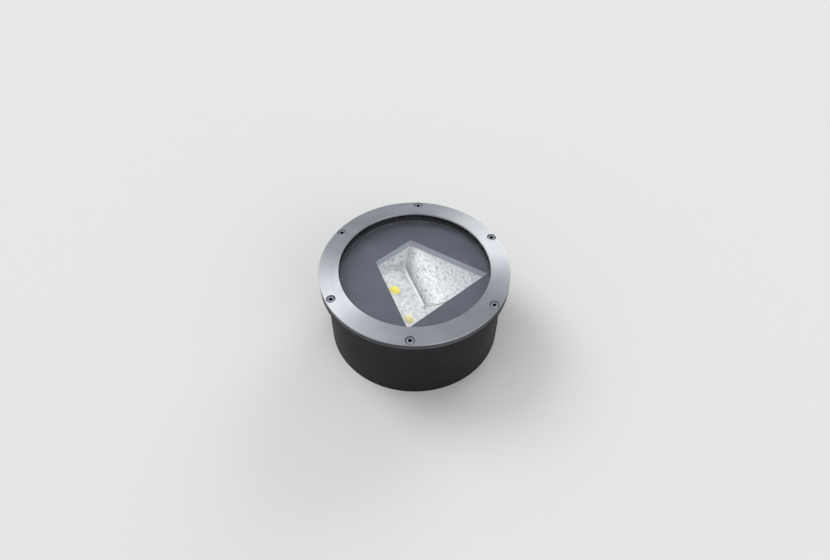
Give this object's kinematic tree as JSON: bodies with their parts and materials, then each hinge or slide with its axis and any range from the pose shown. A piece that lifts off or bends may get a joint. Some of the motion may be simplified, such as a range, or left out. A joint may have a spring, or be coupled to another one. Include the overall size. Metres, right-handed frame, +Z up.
{
  "type": "in ground well light",
  "caption": "Round walk-over light set in the ground: steel trim ring, flush glass, and an aimable hammered reflector behind a dark mask, in a black ground sleeve.",
  "frame": {"origin": "on the light's axis, on the underside of the ground sleeve", "axes": "+Z up, out of the ground along the axis; +X along the two cable entries"},
  "size_m": [0.21, 0.21, 0.0999],
  "materials": {
    "sleeve_plastic": "black glass-filled polypropylene, fine moulded grain",
    "stainless_steel": "stainless steel, turned and brushed round the ring",
    "screw_steel": "A4 stainless screws, plain",
    "clear_glass": "clear toughened float glass, ground arris",
    "black_silicone": "black moulded silicone",
    "black_rubber": "black EPDM",
    "cast_aluminium": "die-cast aluminium, blasted and chromated",
    "nickelled_brass": "nickel-plated brass, turned",
    "black_nylon": "black moulded polyamide",
    "white_acetal": "white acetal",
    "zinc_steel": "zinc-plated steel, clear passivated",
    "driver_case": "white polycarbonate case",
    "white_nylon": "natural white polyamide",
    "brass": "plain turned brass",
    "lead_sheath": "white silicone-insulated leads",
    "bright_aluminium": "natural anodised aluminium",
    "graphite_paint": "graphite grey powder coat, fine texture, semi-matt",
    "hammered_aluminium": "hammered reflector sheet, bright anodised",
    "board_aluminium": "white solder mask on an aluminium core",
    "phosphor_gel": "yellow phosphor in silicone",
    "thermal_pad": "grey-blue silicone gap pad"
  },
  "bodies": {
    "sleeve": {"installation_sleeve": "sleeve_plastic"},
    "luminaire": {"trim_ring": "stainless_steel", "trim_screws": "screw_steel", "cover_glass": "clear_glass", "glass_gasket": "black_silicone", "flange_gasket": "black_rubber", "housing": "cast_aluminium", "bottom_cover": "cast_aluminium", "cover_seal": "black_rubber", "cover_screws": "screw_steel", "breather_valve": "black_nylon", "gland_bodies": "nickelled_brass", "gland_seals": "black_rubber", "gland_nuts": "nickelled_brass", "gland_locknuts": "nickelled_brass", "friction_washer": "white_acetal", "swivel_bush": "zinc_steel", "disc_spring": "zinc_steel", "swivel_nut": "zinc_steel", "driver": "driver_case", "terminal_block": "white_nylon", "terminal_clamp_screws": "zinc_steel", "gear_screws": "zinc_steel", "earth_stud": "brass", "driver_lead": "lead_sheath", "led_lead_lower": "lead_sheath"},
    "optic": {"optic_carrier": "zinc_steel", "mask_plate": "graphite_paint", "mask_posts": "bright_aluminium", "mask_screws": "zinc_steel", "main_reflector": "hammered_aluminium", "led_panel": "hammered_aluminium", "short_end_reflector": "hammered_aluminium", "long_end_reflector": "hammered_aluminium", "reflector_nuts": "zinc_steel", "led_boards": "board_aluminium", "led_phosphors": "phosphor_gel", "led_holders": "white_nylon", "led_screws": "zinc_steel", "thermal_pads": "thermal_pad", "heat_sink": "bright_aluminium", "heat_sink_screws": "zinc_steel", "led_connector": "white_nylon", "led_lead_upper": "lead_sheath"}
  },
  "joints": [
    {"name": "luminaire_lift", "type": "slide", "parent": "sleeve", "child": "luminaire", "axis": [0, 0, 1], "range_m": [0, 0.095]},
    {"name": "aim_swivel", "type": "hinge", "parent": "luminaire", "child": "optic", "pos_m": [0, 0, 0.041], "axis": [0, 0, 1], "range_deg": [-170, 170]}
  ]
}
